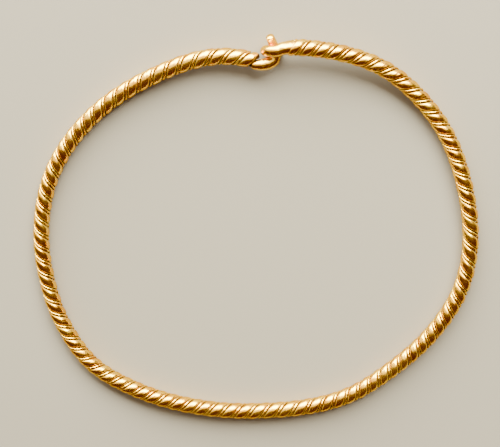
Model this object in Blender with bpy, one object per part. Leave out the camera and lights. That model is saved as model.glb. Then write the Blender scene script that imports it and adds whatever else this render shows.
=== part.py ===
"""Twisted gold torc: two rods and two groove wires laid up as a rope, closed by two hooks.

The torc lies flat. +Z is up, +Y points from its middle to the clasp, +X to the back hook's side.
The origin is on the ground, under the middle of the torc's box.
"""

import math

import bmesh
import bpy
import numpy as np

# Hoop: the rope's middle line, seen from above
HOOP_WIDTH = 0.1448
HOOP_DEPTH = 0.1289
# Hand-bent shape, from the upright hook round to the back hook: degrees on the even oval, and
# the share of its size there
HOOP_SHARE_BY_ANGLE = (
    (84, 0.926), (98, 0.963), (120, 0.956), (140, 0.966), (160, 0.983), (180, 0.996), (195, 1.016),
    (210, 1.053), (226, 1.083), (237, 1.063), (255, 1.024), (272, 0.999), (299, 1.000),
    (312, 0.984), (328, 0.989), (342, 1.002), (378, 1.012), (400, 1.055), (419, 1.077),
    (432, 1.050), (440, 1.026),
)

# Rope: two thick rods with a thin wire in each groove, laid left-handed
ROD_DIAMETER = 0.0028
WIRE_DIAMETER = 0.00075
LAY_LENGTH = 0.0094         # of one full turn of a rod
TOUCH_GAP = 0.00032         # between pieces that touch
START_ANGLE = 30            # degrees at the upright hook, from the hoop's inside up to a rod
WIRE_SETBACK_TURNS = 0.5    # the wires start this far from the upright hook
WIRE_SHORTFALL_TURNS = 0.1  # and stop this far from the back hook
# Twisted by hand: shares of the rope's length, and the turns by which its strands run ahead there
LAY_DRIFT_TURNS = (
    (0, 0), (0.08, -0.21), (0.16, -0.28), (0.25, -0.21), (0.36, -0.37), (0.42, -0.14),
    (0.49, 0.03), (0.58, -0.16), (0.66, 0.05), (0.73, 0.23), (0.81, 0.01), (0.89, 0.02),
    (0.96, -0.18), (1, 0),
)

END_EASE = 0.012            # length over which the upright hook's rope end leaves the oval
LIFT_EASE = 0.060           # length over which each rope end rises from the ground

# Clasp: places are measured from the crossing, the middle of the upright hook's shank where the
# back hook passes over and under it
# Upright hook: curls in the plane of the hoop
UPRIGHT_ROOT_DIAMETER = 0.0043
UPRIGHT_SHANK_DIAMETER = 0.0030
UPRIGHT_TIP_DIAMETER = 0.0025
UPRIGHT_ROOT_X = -0.0052    # the rope's end
UPRIGHT_ROOT_Y = -0.0038
ROOT_PLAY = 0.0007          # between the upright hook's root and the back hook's bend
ELBOW_SHARE = 0.3           # how high in its elbow the curl turns upright
UPRIGHT_ELBOW_X = -0.0006
UPRIGHT_NECK_X = -0.0009    # the neck leans back towards the rope
UPRIGHT_NECK_Y = 0.0023
UPRIGHT_NECK_RISE = 0.0003
UPRIGHT_TIP_X = -0.0017
UPRIGHT_TIP_Y = 0.0047
UPRIGHT_TIP_RISE = 0.0018   # and the tip is bent up
TIP_CHAMFER = 0.0003        # round the blunt end of each hook

# Back hook: runs over the upright hook's shank and returns under it
BACK_ROOT_DIAMETER = 0.0044
BACK_BAR_DIAMETER = 0.0039
BACK_CROWN_DIAMETER = 0.0037
BACK_BEND_DIAMETER = 0.0030
BACK_TIP_DIAMETER = 0.0025
BACK_ROOT_ANGLE = 80.2      # degrees on the oval of the rope's end
BACK_ROOT_X = 0.0052        # the rope's end
BACK_ROOT_Y = 0.0012
BACK_ROOT_RISE = 0.0022
BACK_BAR_X = 0.0028
BACK_BAR_Y = 0.0010
BACK_CROWN_Y = 0.0002
BACK_RETURN_Y = -0.0010
BACK_TIP_X = 0.0020
REST_FLAT_SHARE = 0.65      # the return leg's underside is flattened to this share of its radius

# Facets
ROD_STEPS_PER_TURN = 6
ROD_SIDES = 6
WIRE_STEPS_PER_TURN = 5
WIRE_SIDES = 3
HOOK_SIDES = 12
UPRIGHT_RINGS = 19
BAR_RINGS = 6
BEND_RINGS = 10
HOOP_SAMPLES = 1440
SEARCH_STEPS = 400

UP = np.array((0.0, 0.0, 1.0))
OUTWARD = np.array((0.0, 1.0, 0.0))

ROD_LAY_RADIUS = (ROD_DIAMETER + TOUCH_GAP) / 2
# A rod's section turns a flat, not a corner, to the outside of the rope
ROPE_REACH = ROD_LAY_RADIUS + ROD_DIAMETER / 2 * math.cos(math.pi / ROD_SIDES)

BACK_RETURN_HEIGHT = BACK_TIP_DIAMETER / 2 * REST_FLAT_SHARE
CROWN_RISE = (UPRIGHT_SHANK_DIAMETER + BACK_CROWN_DIAMETER) / 2 + TOUCH_GAP
BEND_REACH = (UPRIGHT_SHANK_DIAMETER + BACK_BEND_DIAMETER) / 2 + TOUCH_GAP
RETURN_DROP = (UPRIGHT_SHANK_DIAMETER + BACK_TIP_DIAMETER) / 2 + TOUCH_GAP
CLASP_HEIGHT = BACK_RETURN_HEIGHT + RETURN_DROP
ROOT_DROP = (UPRIGHT_ROOT_DIAMETER + BACK_BEND_DIAMETER) / 2 + ROOT_PLAY


def unit(vectors):
    """Scale each row to length one."""
    return vectors / np.linalg.norm(vectors, axis=-1, keepdims=True)


def smooth(values):
    """Ease from 0 to 1 with level ends."""
    values = np.clip(values, 0.0, 1.0)
    return values * values * (3 - 2 * values)


def hermite(left, right, left_slope, right_slope, t):
    """Cubic from left to right with the given slopes per span, at shares t of the span."""
    return ((2 * t**3 - 3 * t**2 + 1) * left + (t**3 - 2 * t**2 + t) * left_slope
            + (3 * t**2 - 2 * t**3) * right + (t**3 - t**2) * right_slope)


def spline(stations, count):
    """Read count rows from a smooth curve through the stations, evenly by station number."""
    stations = np.asarray(stations, dtype=float)
    slopes = np.gradient(stations, axis=0)
    where = np.linspace(0, len(stations) - 1, count)
    k = np.minimum(where.astype(int), len(stations) - 2)
    return hermite(stations[k], stations[k + 1], slopes[k], slopes[k + 1], (where - k)[:, None])


def through(stations, where):
    """Height of a smooth curve through (place, height) stations, at each place asked for."""
    places, heights = np.array(stations, dtype=float).T
    slopes = np.gradient(heights, places)
    k = np.clip(np.searchsorted(places, where) - 1, 0, len(places) - 2)
    span = places[k + 1] - places[k]
    t = (where - places[k]) / span
    return hermite(heights[k], heights[k + 1], slopes[k] * span, slopes[k + 1] * span, t)


def oval(degrees):
    """Point of the hoop's middle line on the ground plan at each angle."""
    share = through(HOOP_SHARE_BY_ANGLE, degrees)
    radians = np.radians(degrees)
    x = HOOP_WIDTH / 2 * share * np.cos(radians)
    y = HOOP_DEPTH / 2 * share * np.sin(radians)
    return np.stack((x, y, np.zeros_like(x)), axis=-1)


def clasp_centre():
    """The crossing of the two hooks, set off from where the rope ends at the back hook."""
    rope_end = oval(np.array([BACK_ROOT_ANGLE + 360]))[0]
    return rope_end - (BACK_ROOT_X, BACK_ROOT_Y, -CLASP_HEIGHT)


def lengths_along(points):
    """Distance along the points, from the first one."""
    steps = np.linalg.norm(np.diff(points, axis=0), axis=1)
    return np.concatenate(([0.0], np.cumsum(steps)))


class Rope:
    """The rope's middle line from the upright hook round to the back hook, read by length."""

    def __init__(self):
        centre = clasp_centre()
        self.left_end = centre + (UPRIGHT_ROOT_X, UPRIGHT_ROOT_Y, 0)
        self.right_end = centre + (BACK_ROOT_X, BACK_ROOT_Y, BACK_ROOT_RISE)
        start = math.degrees(math.atan2(self.left_end[1] / HOOP_DEPTH, self.left_end[0] / HOOP_WIDTH))
        line = oval(np.linspace(start, BACK_ROOT_ANGLE + 360, HOOP_SAMPLES))
        along = lengths_along(line)
        aside = self.left_end[:2] - line[0, :2]
        line[:, :2] += (1 - smooth(along / END_EASE))[:, None] * aside
        line[:, 2] = ROPE_REACH
        line[:, 2] += (1 - smooth(along / LIFT_EASE)) * (self.left_end[2] - ROPE_REACH)
        line[:, 2] += (1 - smooth((along[-1] - along) / LIFT_EASE)) * (self.right_end[2] - ROPE_REACH)
        self.line = line
        self.along = lengths_along(line)
        self.length = self.along[-1]
        self.left_out = unit(line[0] - line[1])
        self.right_out = unit(line[-1] - line[-2])
        self.turns = round(self.length / LAY_LENGTH)
        share = self.along / self.length
        self.turned = self.turns * share + through(LAY_DRIFT_TURNS, share)

    def frames(self, turns):
        """Middle points, and the across and upward directions square to the line, at each turn."""
        lengths = np.interp(turns, self.turned, self.along)
        middle = np.stack([np.interp(lengths, self.along, self.line[:, k]) for k in range(3)], axis=-1)
        tangents = np.gradient(self.line, self.along, axis=0)
        tangent = np.stack([np.interp(lengths, self.along, tangents[:, k]) for k in range(3)], axis=-1)
        tangent = unit(tangent)
        across = unit(np.cross(UP, tangent))
        return middle, across, np.cross(tangent, across)

    def strand(self, lay_radius, start_turn, steps_per_turn, setback=0.0, shortfall=0.0):
        """Points of a left-handed helix round the middle line, and the directions that face out.

        It starts and stops the given turns short of the rope's ends.
        """
        stop = self.turns - shortfall
        turns = np.linspace(setback, stop, round((stop - setback) * steps_per_turn) + 1)
        middle, across, upward = self.frames(turns)
        phase = 2 * math.pi * (start_turn - turns)[:, None]
        outward = np.cos(phase) * across + np.sin(phase) * upward
        return middle + lay_radius * outward, outward


def wire_lay_radius(rope):
    """Smallest lay radius at which a groove wire clears both rods by the gap."""
    pitch = rope.length / rope.turns / (2 * math.pi)
    clear = (ROD_DIAMETER + WIRE_DIAMETER) / 2 + TOUCH_GAP
    twist = np.linspace(0, math.pi / 2, SEARCH_STEPS)
    for radius in np.linspace(0, 2 * ROD_DIAMETER, SEARCH_STEPS):
        apart = (ROD_LAY_RADIUS**2 + radius**2 - 2 * ROD_LAY_RADIUS * radius * np.sin(twist)
                 + (pitch * twist)**2)
        if apart.min() >= clear**2:
            return radius
    return 2 * ROD_DIAMETER


def gold(name, colour, roughness):
    """Gold alloy of one colour and polish."""
    material = bpy.data.materials.new(name)
    material.use_nodes = True
    shader = material.node_tree.nodes["Principled BSDF"]
    shader.inputs["Base Color"].default_value = (*colour, 1)
    shader.inputs["Metallic"].default_value = 1
    shader.inputs["Roughness"].default_value = roughness
    return material


def cut_square(ring, point, tangent, normal):
    """Slide a ring's corners along the tangent on to the plane through the point."""
    reach = (ring - point) @ normal / (tangent @ normal)
    return ring - reach[:, None] * tangent


def blunt_tip(points, radii):
    """Add the chamfer round a hook's blunt end: one more ring, further on and smaller."""
    onward = unit(points[-1] - points[-2])
    return (np.vstack((points, points[-1] + TIP_CHAMFER * onward)),
            np.append(radii, radii[-1] - TIP_CHAMFER))


def add_tube(name, points, facing, radii, sides, material, ends=(), floor=None):
    """Closed tube through the points. Each ring is square to the path, a flat turned to facing.

    The first end, and then the last, is cut square to the direction that ends gives for it.
    Corners below the floor, where one is given, are pressed up to it.
    """
    tangent = unit(np.gradient(points, axis=0))
    facing = unit(facing - (facing * tangent).sum(axis=1, keepdims=True) * tangent)
    aside = np.cross(tangent, facing)
    radii = np.broadcast_to(radii, len(points))
    corner = 2 * math.pi * (np.arange(sides) + 0.5) / sides
    rings = (points[:, None, :]
             + radii[:, None, None] * (np.cos(corner)[None, :, None] * facing[:, None, :]
                                       + np.sin(corner)[None, :, None] * aside[:, None, :]))
    for k, normal in zip((0, -1), ends):
        rings[k] = cut_square(rings[k], points[k], tangent[k], normal)
    if floor is not None:
        rings[..., 2] = np.maximum(rings[..., 2], floor)
    shape = bmesh.new()
    rows = [[shape.verts.new(corner_point) for corner_point in ring] for ring in rings]
    for near, far in zip(rows, rows[1:]):
        for k in range(sides):
            shape.faces.new((near[k], near[(k + 1) % sides], far[(k + 1) % sides], far[k]))
    shape.faces.new(rows[0][::-1])
    shape.faces.new(rows[-1])
    bmesh.ops.recalc_face_normals(shape, faces=shape.faces)
    mesh = bpy.data.meshes.new(name)
    shape.to_mesh(mesh)
    shape.free()
    mesh.shade_smooth()
    mesh.set_sharp_from_angle(angle=math.radians(50))
    mesh.materials.append(material)
    bpy.context.scene.collection.objects.link(bpy.data.objects.new(name, mesh))


def add_rope(rope, rod_gold, wire_gold):
    """Two rods half a turn apart, and a wire in each groove between them."""
    ends = (rope.left_out, rope.right_out)
    start = START_ANGLE / 360
    for name, turn_on in (("twisted_rod_a", 0), ("twisted_rod_b", 0.5)):
        points, outward = rope.strand(ROD_LAY_RADIUS, start + turn_on, ROD_STEPS_PER_TURN)
        add_tube(name, points, outward, ROD_DIAMETER / 2, ROD_SIDES, rod_gold, ends)
    radius = wire_lay_radius(rope)
    for name, turn_on in (("groove_wire_a", 0.25), ("groove_wire_b", 0.75)):
        points, outward = rope.strand(radius, start + turn_on, WIRE_STEPS_PER_TURN,
                                      WIRE_SETBACK_TURNS, WIRE_SHORTFALL_TURNS)
        add_tube(name, points, outward, WIRE_DIAMETER / 2, WIRE_SIDES, wire_gold)


def add_upright_hook(rope, material):
    """Round bar from the rope's left end, curling outwards in the plane of the hoop."""
    start = rope.left_end + TOUCH_GAP * rope.left_out - clasp_centre()
    elbow = (UPRIGHT_ROOT_DIAMETER + UPRIGHT_SHANK_DIAMETER) / 2
    stations = (
        (*start, UPRIGHT_ROOT_DIAMETER),
        (UPRIGHT_ROOT_X / 2, -ROOT_DROP, 0, UPRIGHT_ROOT_DIAMETER),
        (UPRIGHT_ELBOW_X, ELBOW_SHARE * elbow - ROOT_DROP, 0, elbow),
        (0, (ELBOW_SHARE * elbow - ROOT_DROP) / 2, 0, UPRIGHT_SHANK_DIAMETER),
        (0, 0, 0, UPRIGHT_SHANK_DIAMETER),
        (UPRIGHT_NECK_X, UPRIGHT_NECK_Y, UPRIGHT_NECK_RISE, UPRIGHT_SHANK_DIAMETER),
        (UPRIGHT_TIP_X, UPRIGHT_TIP_Y, UPRIGHT_TIP_RISE, UPRIGHT_TIP_DIAMETER),
    )
    path = spline(stations, UPRIGHT_RINGS)
    points, radii = blunt_tip(path[:, :3] + clasp_centre(), path[:, 3] / 2)
    facing = np.tile(UP, (len(points), 1))
    add_tube("upright_hook", points, facing, radii, HOOK_SIDES, material, (rope.left_out,))


def add_back_hook(rope, material):
    """Round bar from the rope's right end, over the upright hook's shank and back under it."""
    around = np.linspace(math.pi / 2, 3 * math.pi / 2, BEND_RINGS)
    upper = (1 + np.sin(around)) / 2
    bend = np.column_stack((
        BEND_REACH * np.cos(around),
        BACK_RETURN_Y + (BACK_CROWN_Y - BACK_RETURN_Y) * upper,
        np.where(np.sin(around) > 0, CROWN_RISE, RETURN_DROP) * np.sin(around),
        np.interp(upper, (0, 0.5, 1), (BACK_TIP_DIAMETER, BACK_BEND_DIAMETER, BACK_CROWN_DIAMETER)),
    ))
    start = rope.right_end + TOUCH_GAP * rope.right_out - clasp_centre()
    root = (*start, BACK_ROOT_DIAMETER)
    bar = (BACK_BAR_X, BACK_BAR_Y, (BACK_ROOT_RISE + CROWN_RISE) / 2, BACK_BAR_DIAMETER)
    run_in = spline((root, bar, bend[0]), BAR_RINGS)[:-1]
    tip = (BACK_TIP_X, BACK_RETURN_Y, -RETURN_DROP, BACK_TIP_DIAMETER)
    path = np.vstack((run_in, bend, tip))
    points, radii = blunt_tip(path[:, :3] + clasp_centre(), path[:, 3] / 2)
    facing = np.tile(OUTWARD, (len(points), 1))
    add_tube("back_hook", points, facing, radii, HOOK_SIDES, material, (rope.right_out,), floor=0)


def centre_on_origin(pieces):
    """Move the pieces together, until the middle of their box is over the origin."""
    corners = np.array([vertex.co for piece in pieces for vertex in piece.data.vertices])
    middle = (corners.min(axis=0) + corners.max(axis=0)) / 2
    for piece in pieces:
        piece.location = (-middle[0], -middle[1], 0)


def main():
    for leftover in list(bpy.data.objects):
        bpy.data.objects.remove(leftover, do_unlink=True)
    rod_gold = gold("rod_gold", (0.85, 0.55, 0.17), 0.22)
    wire_gold = gold("wire_gold", (0.72, 0.42, 0.12), 0.35)
    hook_gold = gold("hook_gold", (0.88, 0.60, 0.20), 0.20)
    rope = Rope()
    add_rope(rope, rod_gold, wire_gold)
    add_upright_hook(rope, hook_gold)
    add_back_hook(rope, hook_gold)
    centre_on_origin(bpy.data.objects)


main()
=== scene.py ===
"""Twisted gold torc on a pale floor: fine surfaces and finishes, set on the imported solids.

The torc lies flat. +Z is up, +Y points from its middle to the clasp, +X to the back hook's side.
Every piece is a closed skin: a ring that changes as it is carried along a path.
"""

import math

import bpy
import numpy as np
from mathutils import Matrix, Vector


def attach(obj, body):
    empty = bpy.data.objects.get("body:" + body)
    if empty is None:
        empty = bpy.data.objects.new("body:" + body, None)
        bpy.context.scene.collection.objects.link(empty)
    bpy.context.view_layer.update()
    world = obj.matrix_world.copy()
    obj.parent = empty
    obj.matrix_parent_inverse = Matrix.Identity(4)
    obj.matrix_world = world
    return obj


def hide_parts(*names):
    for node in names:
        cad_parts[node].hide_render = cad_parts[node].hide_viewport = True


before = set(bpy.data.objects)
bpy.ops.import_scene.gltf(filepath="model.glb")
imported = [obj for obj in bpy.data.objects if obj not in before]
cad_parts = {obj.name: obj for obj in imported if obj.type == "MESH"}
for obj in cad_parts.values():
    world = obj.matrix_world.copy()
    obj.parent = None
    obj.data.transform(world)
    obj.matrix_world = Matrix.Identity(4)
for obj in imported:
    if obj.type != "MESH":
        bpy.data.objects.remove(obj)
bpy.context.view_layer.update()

# Hoop: the rope's middle line, seen from above, with the solids' own sizes
HOOP_WIDTH = 0.1448
HOOP_DEPTH = 0.1289
HOOP_SHIFT_X = -0.00024     # from the middle of the oval to the middle of the torc's box
HOOP_SHIFT_Y = -0.00104
# Degrees on the even oval, and the share of its size there
HOOP_SHAPE = (
    (84, 0.926), (98, 0.963), (120, 0.956), (140, 0.966), (160, 0.983), (180, 0.996), (195, 1.016),
    (210, 1.053), (226, 1.083), (237, 1.063), (255, 1.024), (272, 0.999), (299, 1.000),
    (312, 0.984), (328, 0.989), (342, 1.002), (378, 1.012), (400, 1.055), (419, 1.077),
    (432, 1.050), (440, 1.026),
)
HOOP_SAMPLES = 2880

# Rope: two thick strands, worn to a broad D, with a thin wire nearly flush in each groove
ROPE_REACH = 0.00276        # from the middle line to the crest of a strand
LAY_LENGTH = 0.0094
END_EASE = 0.012
LIFT_EASE = 0.060
START_TURN = 1 / 12         # at the upright hook, from the hoop's inside up to the first strand
# Shares of the rope's length, and the turns by which its strands run ahead there
LAY_DRIFT = (
    (0, 0), (0.08, -0.21), (0.16, -0.28), (0.25, -0.21), (0.36, -0.37), (0.42, -0.14),
    (0.49, 0.03), (0.58, -0.16), (0.66, 0.05), (0.73, 0.23), (0.81, 0.01), (0.89, 0.02),
    (0.96, -0.18), (1, 0),
)
# Section of a strand, square to the rope: degrees from the crest, and the share of ROPE_REACH
STRAND_SECTION = (
    (0, 1.0), (12, 0.997), (25, 0.985), (38, 0.957), (49, 0.912), (57, 0.855), (64, 0.77),
    (70, 0.66), (76, 0.52), (83, 0.36),
)
STRAND_HEART = 0.5          # share of ROPE_REACH at which a strand's end closes
STRAND_STEPS_PER_TURN = 46
WIRE_RADIUS = 0.00034
WIRE_RECESS = 0.00010       # from the crest of the strands down to the crest of the wire
WIRE_BEAD = 0.0013          # from one bead of the wire to the next
WIRE_BEAD_DEPTH = 0.10
WIRE_START = 0.30           # turns from the upright hook at which the wires start
WIRE_STOP = 0.12            # and from the back hook at which they stop
WIRE_CREST_RECESS = 0.05    # depth given to the wire's crest, for the painted groove shade
WIRE_BACK_RECESS = 0.27     # and to its hidden side, which gets more painted shade
WIRE_SIDES = 10
WIRE_STEPS_PER_BEAD = 6
STRAND_DENT = 0.007         # share of a strand's reach by which hammering dents it
STRAND_ROUNDING = 0.9       # share of ROPE_REACH over which a strand's end is rounded off

# Clasp, measured from the crossing of the hooks
CLASP_HEIGHT = 0.0038825
BACK_ROOT_ANGLE = 80.2
UPRIGHT_ROOT_X = -0.0052
UPRIGHT_ROOT_Y = -0.0038
BACK_ROOT_X = 0.0052
BACK_ROOT_Y = 0.0012
BACK_ROOT_RISE = 0.0022
BACK_BEND_REACH = 0.00315   # from the crossing out to the middle of the back hook's bend
BACK_BAR_RISE = 0.00345     # up to the middle of its bar
BACK_RETURN_DROP = 0.0030   # and down to the middle of its return leg
BACK_CROWN_Y = 0.0002
BACK_RETURN_Y = -0.0010
HOOK_SIDES = 40
HOOK_DENT = 0.010           # share of a hook's radius by which hammering dents it
HOOK_ROUNDING = 0.0004

# Camera
CAMERA_AT = (0.0342, 0.1402, 0.4188)
CAMERA_AIM = (-0.0010, 0.0037, 0.0026)
LENS_MM = 94.3
SENSOR_MM = 36.0

UP = np.array((0.0, 0.0, 1.0))
OUTWARD = np.array((0.0, 1.0, 0.0))     # at the clasp

# Painted shade: the dark brown that the strands' deep flanks and the wires' far sides are coloured with
PAINTED_GROOVE_SHADE = (0.04, 0.011, 0.003, 1)


def unit(vectors):
    """Scale each row to length one."""
    return vectors / np.linalg.norm(vectors, axis=-1, keepdims=True)


def smooth(values):
    """Ease from 0 to 1 with level ends."""
    values = np.clip(values, 0.0, 1.0)
    return values * values * (3 - 2 * values)


def hermite(left, right, left_slope, right_slope, t):
    """Cubic from left to right with the given slopes per span, at shares t of the span."""
    return ((2 * t**3 - 3 * t**2 + 1) * left + (t**3 - 2 * t**2 + t) * left_slope
            + (3 * t**2 - 2 * t**3) * right + (t**3 - t**2) * right_slope)


def spline(stations, count):
    """Read count rows from a smooth curve through the stations, evenly by station number."""
    stations = np.asarray(stations, dtype=float)
    slopes = np.gradient(stations, axis=0)
    where = np.linspace(0, len(stations) - 1, count)
    k = np.minimum(where.astype(int), len(stations) - 2)
    return hermite(stations[k], stations[k + 1], slopes[k], slopes[k + 1], (where - k)[:, None])


def through(stations, where):
    """Height of a smooth curve through (place, height) stations, at each place asked for."""
    places, heights = np.array(stations, dtype=float).T
    slopes = np.gradient(heights, places)
    k = np.clip(np.searchsorted(places, where) - 1, 0, len(places) - 2)
    span = places[k + 1] - places[k]
    t = (where - places[k]) / span
    return hermite(heights[k], heights[k + 1], slopes[k] * span, slopes[k + 1] * span, t)


def oval(degrees):
    """Point of the hoop's middle line at each angle: an ellipse, its radius times a cubic share."""
    share = through(HOOP_SHAPE, degrees)
    radians = np.radians(degrees)
    x = HOOP_WIDTH / 2 * share * np.cos(radians) + HOOP_SHIFT_X
    y = HOOP_DEPTH / 2 * share * np.sin(radians) + HOOP_SHIFT_Y
    return np.stack((x, y, np.zeros_like(x)), axis=-1)


def lengths_along(points):
    """Distance along the points, from the first one."""
    steps = np.linalg.norm(np.diff(points, axis=0), axis=1)
    return np.concatenate(([0.0], np.cumsum(steps)))


CLASP = oval(np.array([BACK_ROOT_ANGLE + 360]))[0] - (BACK_ROOT_X, BACK_ROOT_Y, -CLASP_HEIGHT)


class Rope:
    """The rope's middle line from the upright hook round to the back hook, read by turns."""

    def __init__(self):
        """The oval, eased sideways at its start to the upright hook, and raised at both ends.

        The turns after a length s are turns * s / length, plus the drift there.
        """
        left = CLASP + (UPRIGHT_ROOT_X, UPRIGHT_ROOT_Y, 0)
        right = CLASP + (BACK_ROOT_X, BACK_ROOT_Y, BACK_ROOT_RISE)
        start = math.degrees(math.atan2((left[1] - HOOP_SHIFT_Y) / HOOP_DEPTH,
                                        (left[0] - HOOP_SHIFT_X) / HOOP_WIDTH))
        line = oval(np.linspace(start, BACK_ROOT_ANGLE + 360, HOOP_SAMPLES))
        along = lengths_along(line)
        line[:, :2] += (1 - smooth(along / END_EASE))[:, None] * (left[:2] - line[0, :2])
        line[:, 2] = ROPE_REACH
        line[:, 2] += (1 - smooth(along / LIFT_EASE)) * (left[2] - ROPE_REACH)
        line[:, 2] += (1 - smooth((along[-1] - along) / LIFT_EASE)) * (right[2] - ROPE_REACH)
        self.line = line
        self.along = lengths_along(line)
        self.length = self.along[-1]
        self.tangents = unit(np.gradient(line, self.along, axis=0))
        self.turns = round(self.length / LAY_LENGTH)
        share = self.along / self.length
        self.turned = self.turns * share + through(LAY_DRIFT, share)

    def frames(self, turns):
        """Middle points, and the across and upward directions, after each number of turns."""
        lengths = np.interp(turns, self.turned, self.along)
        lengths += (turns - np.clip(turns, 0, self.turns)) * self.length / self.turns
        middle = np.stack([np.interp(lengths, self.along, self.line[:, k]) for k in range(3)], axis=-1)
        tangent = unit(np.stack([np.interp(lengths, self.along, self.tangents[:, k])
                                 for k in range(3)], axis=-1))
        middle += (lengths - np.clip(lengths, 0, self.length))[:, None] * tangent
        across = unit(np.cross(UP, tangent))
        return middle, across, np.cross(tangent, across)

    def rings(self, turns, start_turn, angles, radii):
        """Rings of a left-handed strand, each square to the rope.

        Corner j of ring i is middle[i] + radii[i, j] (cos a across + sin a upward), where the
        angle a is 2 pi (start_turn - turns[i]) + angles[i, j].
        """
        middle, across, upward = self.frames(turns)
        angle = 2 * math.pi * (start_turn - turns)[:, None] + angles
        return (middle[:, None] + radii[..., None] * (np.cos(angle)[..., None] * across[:, None]
                                                      + np.sin(angle)[..., None] * upward[:, None]))


ROPE = Rope()


class Skin:
    """A closed surface: rings of points joined in quads, shut by a fan at each end."""

    def __init__(self, rings, recess=None):
        self.rings = rings
        self.length = lengths_along(rings.mean(axis=1))
        self.recess = np.zeros(rings.shape[:2]) if recess is None else recess

    def depths(self):
        """How deep each point lies in the rope, the fans' middles included."""
        return np.concatenate((self.recess.ravel(), self.recess[(0, -1), :].mean(axis=1)))

    def parts(self):
        """Points, faces as rows of four or three indices, and a UV pair for each face corner."""
        rows, sides = self.rings.shape[:2]
        points = np.vstack((self.rings.reshape(-1, 3), self.rings[0].mean(axis=0),
                            self.rings[-1].mean(axis=0)))
        i, j = np.meshgrid(np.arange(rows - 1), np.arange(sides), indexing="ij")
        i, j = i.ravel(), j.ravel()
        after = (j + 1) % sides
        quads = np.column_stack((i * sides + j, i * sides + after,
                                 (i + 1) * sides + after, (i + 1) * sides + j))
        around = j / sides, (j + 1) / sides
        quad_uv = np.stack([np.column_stack(pair) for pair in (
            (around[0], self.length[i]), (around[1], self.length[i]),
            (around[1], self.length[i + 1]), (around[0], self.length[i + 1]))], axis=1)
        side = np.arange(sides)
        first, last = rows * sides, rows * sides + 1
        near = np.column_stack((side, np.full(sides, first), (side + 1) % sides))
        far = np.column_stack((side + (rows - 1) * sides, (side + 1) % sides + (rows - 1) * sides,
                               np.full(sides, last)))
        fan_uv = []
        for length, order in ((self.length[0], (0, 0.5, 1)), (self.length[-1], (0, 1, 0.5))):
            fan_uv.append(np.stack([np.column_stack(((side + step) / sides, np.full(sides, length)))
                                    for step in order], axis=1))
        return points, quads, quad_uv, np.vstack((near, far)), np.vstack(fan_uv)


def bar_rings(path, facing, radii, angles):
    """Rings square to a path: path[i] + radii[i, j] (cos a facing + sin a aside), a = angles[j]."""
    tangent = unit(np.gradient(path, axis=0))
    facing = unit(facing - (facing * tangent).sum(axis=1, keepdims=True) * tangent)
    aside = np.cross(tangent, facing)
    return (path[:, None] + radii[..., None] * (np.cos(angles)[None, :, None] * facing[:, None]
                                                + np.sin(angles)[None, :, None] * aside[:, None]))


def make_piece(name, skin, finish, node):
    """Turn a skin into an object, with a UV map in metres along it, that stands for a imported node."""
    points, quads, quad_uv, fans, fan_uv = skin.parts()
    corners = np.concatenate((quads.ravel(), fans.ravel()))
    sizes = np.concatenate((np.full(len(quads), 4), np.full(len(fans), 3)))
    mesh = bpy.data.meshes.new(name)
    mesh.vertices.add(len(points))
    mesh.vertices.foreach_set("co", points.astype(np.float32).ravel())
    mesh.loops.add(len(corners))
    mesh.loops.foreach_set("vertex_index", corners.astype(np.int32))
    mesh.polygons.add(len(sizes))
    mesh.polygons.foreach_set("loop_start", (np.cumsum(sizes) - sizes).astype(np.int32))
    mesh.update(calc_edges=True)
    uv = np.concatenate((quad_uv.ravel(), fan_uv.ravel()))
    mesh.uv_layers.new(name="strand").data.foreach_set("uv", uv.astype(np.float32))
    recess = mesh.attributes.new("recess", "FLOAT", "POINT")
    recess.data.foreach_set("value", skin.depths().astype(np.float32))
    mesh.validate()
    mesh.shade_smooth()
    mesh.materials.append(finish)
    piece = bpy.data.objects.new(name, mesh)
    bpy.context.scene.collection.objects.link(piece)
    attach(piece, "root")
    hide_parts(node)


def hammered(angles, lengths, seed, depth):
    """Shallow dents: a sum of cosine waves round and along a bar, 1.5 to 6 mm long."""
    rng = np.random.default_rng(seed)
    waves = 18
    around = rng.integers(0, 4, waves)
    rate = 2 * math.pi / rng.uniform(0.0015, 0.006, waves) * rng.choice((-1, 1), waves)
    start = rng.uniform(0, 2 * math.pi, waves)
    total = np.zeros((len(lengths), len(angles)))
    for m, n, p in zip(around, rate, start):
        total += np.cos(m * angles[None, :] + n * lengths[:, None] + p)
    return depth * total / math.sqrt(waves)


def round_off(lengths, radius):
    """Share of the full section near both ends of a path, as a quarter circle of the radius.

    It is the root of 1 - (1 - s)^2, where s is the distance to the nearer end over the radius,
    and at least 0.02.
    """
    rest = np.minimum(lengths, lengths[-1] - lengths) / radius
    return np.sqrt(np.clip(1 - (1 - np.clip(rest, 0, 1))**2, 0.0004, 1))


# Shader nodes

class Value:
    """One output of a node. Its operators add Math nodes, with it on either side of a number."""

    def __init__(self, finish, source):
        self.finish = finish
        self.source = source

    def combine(self, operation, *values):
        """Add one Math node."""
        return self.finish.node("ShaderNodeMath", {"operation": operation}, dict(enumerate(values)))

    def __add__(self, other):
        return self.combine("ADD", self, other)

    def __sub__(self, other):
        return self.combine("SUBTRACT", self, other)

    def __mul__(self, other):
        return self.combine("MULTIPLY", self, other)

    def __radd__(self, other):
        return self.combine("ADD", other, self)

    def __rsub__(self, other):
        return self.combine("SUBTRACT", other, self)

    def __rmul__(self, other):
        return self.combine("MULTIPLY", other, self)


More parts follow.
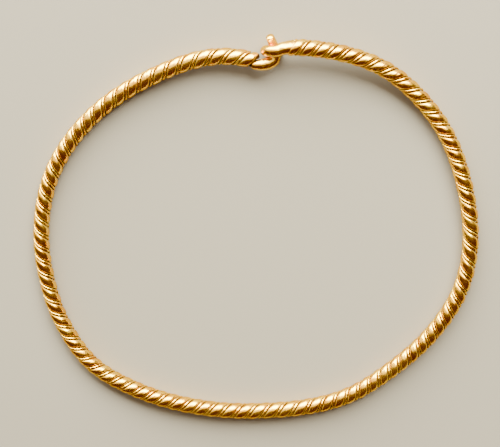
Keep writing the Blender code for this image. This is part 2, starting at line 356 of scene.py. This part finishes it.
class Finish:
    """A material under work."""

    def __init__(self, name):
        self.material = bpy.data.materials.new(name)
        self.material.use_nodes = True
        self.tree = self.material.node_tree
        self.shader = self.tree.nodes["Principled BSDF"]

    def node(self, kind, settings, inputs, output=0):
        """Add one node, set it, feed its inputs, and return one of its outputs."""
        node = self.tree.nodes.new(kind)
        for key, value in settings.items():
            setattr(node, key, value)
        for key, value in inputs.items():
            self.feed(node.inputs[key], value)
        return Value(self, node.outputs[output])

    def feed(self, socket, value):
        """Link a value to a socket, or set the socket to a number or colour."""
        if isinstance(value, Value):
            self.tree.links.new(value.source, socket)
        else:
            socket.default_value = value

    def surface(self, **inputs):
        """Feed the shader's sockets, named with _ for each space, and return the material."""
        for key, value in inputs.items():
            self.feed(self.shader.inputs[key.replace("_", " ")], value)
        return self.material

    def place(self):
        """Object coordinates, in metres."""
        return self.node("ShaderNodeTexCoord", {}, {}, "Object")

    def noise(self, vector, per_metre, detail):
        """Soft noise from 0 to 1, with the given number of waves to a metre."""
        return self.node("ShaderNodeTexNoise", {},
                         {"Vector": vector, "Scale": per_metre, "Detail": detail}, "Fac")

    def between(self, value, low, high):
        """0 below low, 1 above high, even between."""
        return self.node("ShaderNodeMapRange", {"clamp": True},
                         {"Value": value, "From Min": low, "From Max": high})

    def mix(self, share, first, second):
        """Colour mix from first to second."""
        return self.node("ShaderNodeMix", {"data_type": "RGBA"},
                         {0: share, 6: first, 7: second}, 2)


def gold(name, bright, deep, roughness):
    """Worn gold: cloudy alloy colour, painted dark brown shade where the rope is deep, fine scratches
    and pits.
    """
    finish = Finish(name)
    place = finish.place()
    recess = finish.node("ShaderNodeAttribute", {"attribute_name": "recess"}, {}, "Fac")
    cloud = finish.between(finish.noise(place, 260.0, 3.0), 0.35, 0.65)     # 4 mm patches
    speck = finish.noise(place, 2600.0, 3.0)                                # 0.4 mm specks
    # Painted shade: points lying deep in the rope are mixed towards the dark brown, rougher and less
    # metallic
    groove_shade = finish.between(recess + (speck - 0.5) * 0.06, 0.09, 0.18)
    alloy = finish.mix(cloud, (*deep, 1), (*bright, 1))
    colour = finish.mix(groove_shade, alloy, PAINTED_GROOVE_SHADE)
    rough = roughness + (cloud * 0.06 + groove_shade * 0.45)
    rough = rough + finish.between(speck, 0.5, 0.75) * 0.08
    fine = finish.noise(place, 5200.0, 2.0)                                 # 0.2 mm pits
    bump = finish.node("ShaderNodeBump", {}, {"Strength": 0.25, "Distance": 0.00004,
                                              "Height": fine * 0.4 + speck * 0.6})
    return finish.surface(Base_Color=colour, Roughness=rough, Metallic=1 - groove_shade * 0.7, Normal=bump,
                          Specular_Tint=(1.0, 0.70, 0.25, 1))


ROD_GOLD = gold("rod_gold_worn", (1.0, 0.64, 0.06), (0.93, 0.47, 0.035), 0.21)
WIRE_GOLD = gold("wire_gold_worn", (1.0, 0.64, 0.06), (0.93, 0.47, 0.035), 0.21)
HOOK_GOLD = gold("hook_gold_worn", (1.0, 0.65, 0.07), (0.94, 0.49, 0.045), 0.19)


def make_strand(name, node, start_turn, seed, run_on):
    """One thick strand: the worn D section, turned with the lay, its blunt ends rounded off.

    Its corners lie at the section's share of ROPE_REACH times 1 plus the dents. Towards each end
    the section shrinks to its heart by a quarter circle.
    """
    stations = np.array(STRAND_SECTION, dtype=float)
    mirrored = np.vstack((stations[:0:-1] * (-1, 1), stations))
    outline = spline(mirrored, 2 * len(stations) + 9)
    angles, shares = np.radians(outline[:, 0]), outline[:, 1]
    turns = np.linspace(-run_on[0], ROPE.turns + run_on[1], ROPE.turns * STRAND_STEPS_PER_TURN)
    middle = ROPE.frames(turns)[0]
    along = lengths_along(middle)
    dents = hammered(3 * angles, along, seed, STRAND_DENT)
    keep = round_off(along, STRAND_ROUNDING * ROPE_REACH)[:, None]
    x = STRAND_HEART + (shares * np.cos(angles) * (1 + dents) - STRAND_HEART) * keep
    y = shares * np.sin(angles) * (1 + dents) * keep
    radii = np.hypot(x, y)
    rings = ROPE.rings(turns, start_turn, np.arctan2(y, x), radii * ROPE_REACH)
    # Painted shade: a strand's flanks, where they dip towards the grooves, are coloured darker by their
    # depth
    make_piece(name, Skin(rings, 1 - np.minimum(radii, 1)), ROD_GOLD, node)


def make_wire(name, node, start_turn, phase):
    """Thin wire, round square to its own path, with faint beads that wind round it.

    Its radius is r (1 + depth cos(2 a - 2 pi s / bead + phase)) at the angle a and the length s.
    """
    lay_radius = ROPE_REACH - WIRE_RECESS - WIRE_RADIUS
    stretch = math.hypot(1, 2 * math.pi * lay_radius * ROPE.turns / ROPE.length)
    length = ROPE.length * stretch
    turns = np.linspace(WIRE_START, ROPE.turns - WIRE_STOP,
                        int(length / WIRE_BEAD * WIRE_STEPS_PER_BEAD))
    along = length * (turns - turns[0]) / ROPE.turns
    around = 2 * math.pi * np.arange(WIRE_SIDES) / WIRE_SIDES
    bead = 1 + WIRE_BEAD_DEPTH * np.cos(2 * around - 2 * math.pi * along[:, None] / WIRE_BEAD + phase)
    radii = WIRE_RADIUS * bead * round_off(along, WIRE_RADIUS)[:, None]
    angles = radii * np.sin(around) * stretch / lay_radius
    rings = ROPE.rings(turns, start_turn, angles, lay_radius + radii * np.cos(around))
    # Painted shade: the wire's far side gets a greater depth, so it is coloured darker
    recess = WIRE_CREST_RECESS + (WIRE_BACK_RECESS - WIRE_CREST_RECESS) * (1 - np.cos(around)) / 2
    skin = Skin(rings, np.broadcast_to(recess, rings.shape[:2]))
    make_piece(name, skin, WIRE_GOLD, node)


def make_hook(name, node, stations, count, facing, seed):
    """Bar along a smooth curve through (x, y, z, thickness) stations, measured from the crossing.

    Its radius is half the thickness, times 1 plus the dents, times a quarter circle at each end.
    Points that would come under the floor are pressed up to it.
    """
    path = spline(stations, count)
    points = path[:, :3] + CLASP
    along = lengths_along(points)
    angles = 2 * math.pi * np.arange(HOOK_SIDES) / HOOK_SIDES
    radii = path[:, 3:] / 2 * (1 + hammered(angles, along, seed, HOOK_DENT))
    radii = radii * round_off(along, HOOK_ROUNDING)[:, None]
    rings = bar_rings(points, facing, radii, angles)
    rings[..., 2] = np.maximum(rings[..., 2], 0)
    make_piece(name, Skin(rings), HOOK_GOLD, node)


def make_upright_hook():
    """Bar from the rope's left end, curling in the hoop's plane, its tip pointing outwards."""
    stations = (
        (-0.0075, -0.0049, 0.0006, 0.0026), (-0.0052, -0.0049, 0.0007, 0.0034),
        (-0.0028, -0.0046, 0.0002, 0.0040), (-0.0005, -0.0035, 0, 0.0037),
        (0.0001, -0.0017, 0, 0.0032), (0, 0.0002, 0, 0.0030),
        (-0.0009, 0.0023, 0.0003, 0.0029), (-0.0017, 0.0047, 0.0018, 0.0025),
    )
    make_hook("upright_hook_fine", "upright_hook", stations, count=120, facing=UP, seed=31)


def make_back_hook():
    """Bar from the rope's right end over the other hook, a half circle down, and back under it."""
    around = np.linspace(math.pi / 2, 3 * math.pi / 2, 11)
    upper = (1 + np.sin(around)) / 2
    bend = np.column_stack((
        BACK_BEND_REACH * np.cos(around),
        (BACK_CROWN_Y - BACK_RETURN_Y) * upper + BACK_RETURN_Y,
        np.where(np.sin(around) > 0, BACK_BAR_RISE, BACK_RETURN_DROP) * np.sin(around),
        np.interp(upper, (0, 0.5, 1), (0.0025, 0.0031, 0.0038)),
    ))
    run_in = (
        (0.0088, 0.0019, 0.0014, 0.0026), (0.0068, 0.0016, 0.0018, 0.0040),
        (BACK_ROOT_X, BACK_ROOT_Y, BACK_ROOT_RISE, 0.0044), (0.0030, 0.0010, 0.0029, 0.0042),
        (0.0014, 0.00045, 0.0033, 0.0039),
    )
    tip = (
        (0.0012, BACK_RETURN_Y, -BACK_RETURN_DROP, 0.0025),
        (0.0023, BACK_RETURN_Y, -BACK_RETURN_DROP, 0.0024),
    )
    stations = (*run_in, *bend, *tip)
    make_hook("back_hook_fine", "back_hook", stations, count=180, facing=OUTWARD, seed=47)


make_strand("strand_a_fine", "twisted_rod_a", START_TURN, seed=11, run_on=(0.0, 0.2))
make_strand("strand_b_fine", "twisted_rod_b", START_TURN + 0.5, seed=12, run_on=(0.0, 0.0))
make_wire("wire_a_fine", "groove_wire_a", START_TURN - 0.25, phase=0.0)
make_wire("wire_b_fine", "groove_wire_b", START_TURN + 0.25, phase=1.0)
make_upright_hook()
make_back_hook()


def look_at(thing, at, aim):
    """Turn a camera or light to face a point, its top towards +Y."""
    back = (Vector(at) - Vector(aim)).normalized()
    right = Vector((0, 1, 0)).cross(back).normalized()
    matrix = Matrix((right, back.cross(right), back)).transposed().to_4x4()
    matrix.translation = at
    thing.matrix_world = matrix


def make_floor():
    """A pale plain floor, far wider than the view."""
    reach = 3.0
    mesh = bpy.data.meshes.new("floor")
    mesh.from_pydata([(-reach, -reach, 0), (reach, -reach, 0), (reach, reach, 0), (-reach, reach, 0)],
                     [], [(0, 1, 2, 3)])
    finish = Finish("pale_floor")
    mesh.materials.append(finish.surface(Base_Color=(0.24, 0.217, 0.212, 1), Roughness=0.8))
    floor = bpy.data.objects.new("floor", mesh)
    bpy.context.scene.collection.objects.link(floor)


def make_light(name, at, aim, width, height, power, colour):
    """A soft rectangular light that faces a point."""
    light = bpy.data.lights.new(name, "AREA")
    light.shape = "RECTANGLE"
    light.size = width
    light.size_y = height
    light.energy = power
    light.color = colour
    lamp = bpy.data.objects.new(name, light)
    bpy.context.scene.collection.objects.link(lamp)
    look_at(lamp, at, aim)


def make_studio():
    """Floor, two soft lights from the upper left, a faint warm world, and the camera."""
    make_floor()
    make_light("key", (-0.26, 0.99, 0.40), (0, 0, 0), 3.0, 0.74, 270.0, (1.0, 1.0, 0.72))
    make_light("wide", (-0.24, 0.95, 0.62), (0, 0, 0), 3.8, 2.3, 60.0, (1.0, 0.86, 0.50))
    world = bpy.data.worlds.new("studio")
    world.use_nodes = True
    background = world.node_tree.nodes["Background"]
    background.inputs["Color"].default_value = (1.0, 0.19, 0.06, 1)
    background.inputs["Strength"].default_value = 0.10
    bpy.context.scene.world = world
    camera = bpy.data.objects.new("camera", bpy.data.cameras.new("camera"))
    camera.data.lens = LENS_MM
    camera.data.sensor_width = SENSOR_MM
    bpy.context.scene.collection.objects.link(camera)
    look_at(camera, CAMERA_AT, CAMERA_AIM)
    bpy.context.scene.camera = camera


make_studio()
